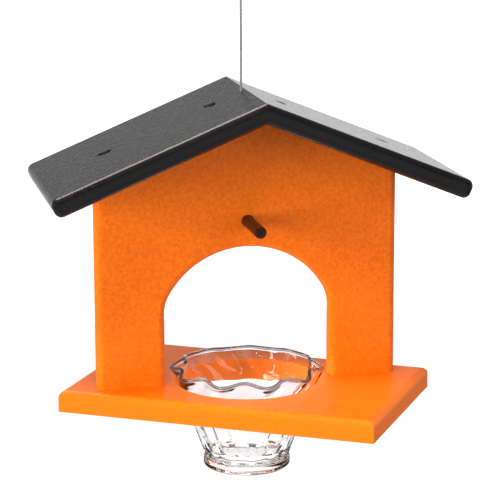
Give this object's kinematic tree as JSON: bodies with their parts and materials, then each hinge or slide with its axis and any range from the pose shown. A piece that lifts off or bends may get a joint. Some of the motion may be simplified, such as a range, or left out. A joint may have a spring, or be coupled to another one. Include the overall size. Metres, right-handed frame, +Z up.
{
  "type": "oriole feeder",
  "caption": "Hanging bird feeder: an arched panel on a base board under pitched roof boards, with a peg for halved fruit, a ruffled glass jelly dish and a steel cable hanger.",
  "frame": {"origin": "inside of the top of the hanger loop, where a hook bears", "axes": "+X along the panel, to the right seen from the front; -Y to the front, the side in the picture; +Z up"},
  "size_m": [0.2723, 0.228, 0.3599],
  "materials": {
    "orange_lumber": "satin, faintly mottled",
    "black_lumber": "satin, faintly mottled",
    "peg_plastic": "satin",
    "cable_steel": "stranded wire",
    "sleeve_aluminium": "pressed",
    "dish_glass": "clear pressed glass"
  },
  "bodies": {
    "root": {"base_board": "orange_lumber", "arch_panel": "orange_lumber", "roof_board_left": "black_lumber", "roof_board_right": "black_lumber", "fruit_peg": "peg_plastic", "hanger_cable": "cable_steel", "loop_crimp": "sleeve_aluminium", "stop_sleeve": "sleeve_aluminium", "jelly_dish": "dish_glass"}
  },
  "joints": []
}
